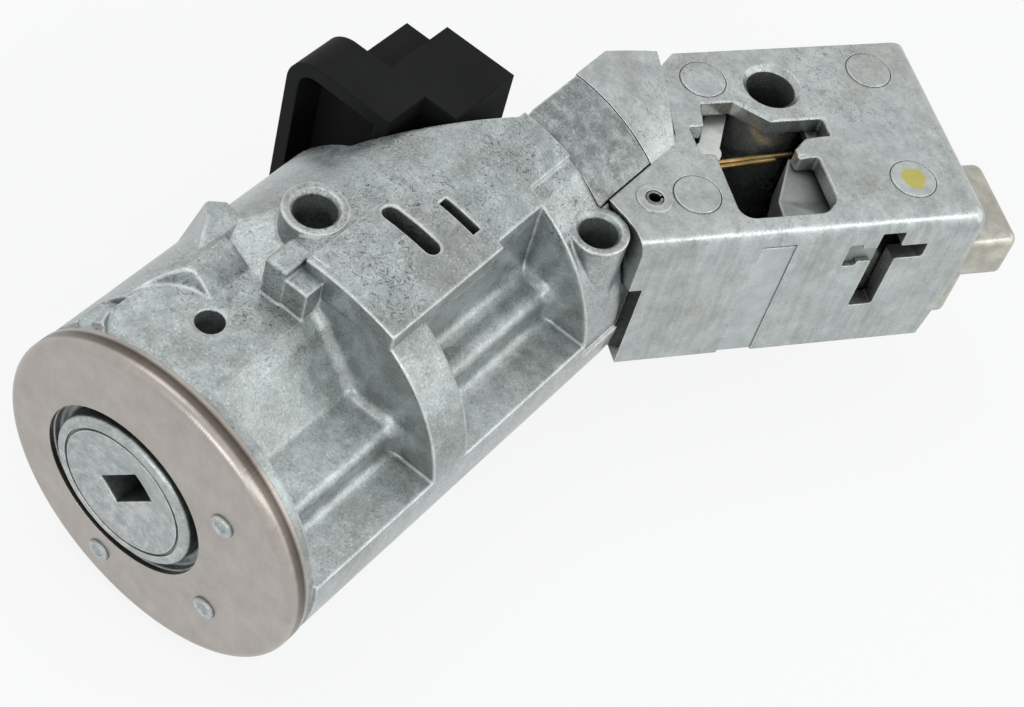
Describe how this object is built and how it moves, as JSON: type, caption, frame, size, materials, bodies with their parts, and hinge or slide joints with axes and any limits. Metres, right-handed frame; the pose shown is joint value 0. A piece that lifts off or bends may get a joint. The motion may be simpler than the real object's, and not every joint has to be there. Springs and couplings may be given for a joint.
{
  "type": "ignition switch",
  "caption": "Key-operated ignition switch: die-cast key barrel with a slanted lock box, a sliding lock bolt and a black plastic contact block.",
  "frame": {"origin": "middle of the cover ring's front face, on the barrel's axis", "axes": "+Y along the key barrel from the ring to the rear, +Z out of the face with the holes and the window, +X to the side the lock box leans towards"},
  "size_m": [0.0957, 0.1476, 0.0543],
  "materials": {
    "zinc_cast": "as cast, mottled cool grey",
    "ring_steel": "satin",
    "rotor_metal": "satin turned",
    "bolt_steel": "machined",
    "plate_steel": "rolled",
    "pin_steel": "rolled spring steel",
    "spring_wire": "drawn wire",
    "brass_wire": "drawn wire",
    "brass_contact": "stamped",
    "black_plastic": "moulded, dull",
    "drum_plastic": "moulded"
  },
  "bodies": {
    "housing": {"main_housing": "zinc_cast", "lock_box": "zinc_cast", "lock_box_base": "zinc_cast", "collar_plate": "zinc_cast", "front_cover_ring": "ring_steel", "cover_rivet_1": "ring_steel", "cover_rivet_2": "ring_steel", "cover_rivet_3": "ring_steel", "box_rivet_1": "zinc_cast", "box_rivet_2": "zinc_cast", "box_rivet_3": "zinc_cast", "box_rivet_4": "zinc_cast", "roll_pin": "pin_steel", "guide_plate": "plate_steel", "cylinder_sleeve": "zinc_cast", "bolt_spring": "spring_wire", "lever_spring": "brass_wire", "switch_body": "black_plastic", "terminal_1": "brass_contact", "terminal_2": "brass_contact", "terminal_3": "brass_contact", "terminal_4": "brass_contact", "terminal_5": "brass_contact"},
    "rotor": {"key_rotor": "rotor_metal", "wafer_set": "brass_contact", "rotor_clip": "pin_steel", "drive_cam": "rotor_metal"},
    "drum": {"contact_drum": "drum_plastic", "contact_band_1": "brass_contact", "contact_band_2": "brass_contact"},
    "bolt": {"lock_bolt": "bolt_steel", "bolt_slider": "bolt_steel"},
    "lever": {"blocking_lever": "plate_steel"}
  },
  "joints": [
    {"name": "key_turn", "type": "hinge", "parent": "housing", "child": "rotor", "pos_m": [-0.0043, 0, -0.00095], "axis": [0, 1, 0], "range_deg": [0, 90]},
    {"name": "drum_turn", "type": "hinge", "parent": "housing", "child": "drum", "pos_m": [-0.0043, 0, -0.00095], "axis": [0, 1, 0], "range_deg": [0, 90]},
    {"name": "bolt_slide", "type": "slide", "parent": "housing", "child": "bolt", "axis": [-0.5878, -0.809, 0], "range_m": [0, 0.011], "deforming": ["bolt_spring"]},
    {"name": "lever_pivot", "type": "hinge", "parent": "housing", "child": "lever", "pos_m": [0.02198, 0.08452, 0.014], "axis": [0, 0, 1], "range_deg": [0, 2], "stiffness_Nm_per_rad": 0.02, "deforming": ["lever_spring"]}
  ],
  "couplings": [
    {"joint": "drum_turn", "follows": "key_turn", "ratio": 1},
    {"joint": "bolt_slide", "follows": "key_turn", "m_per_rad": 0.0070028}
  ]
}
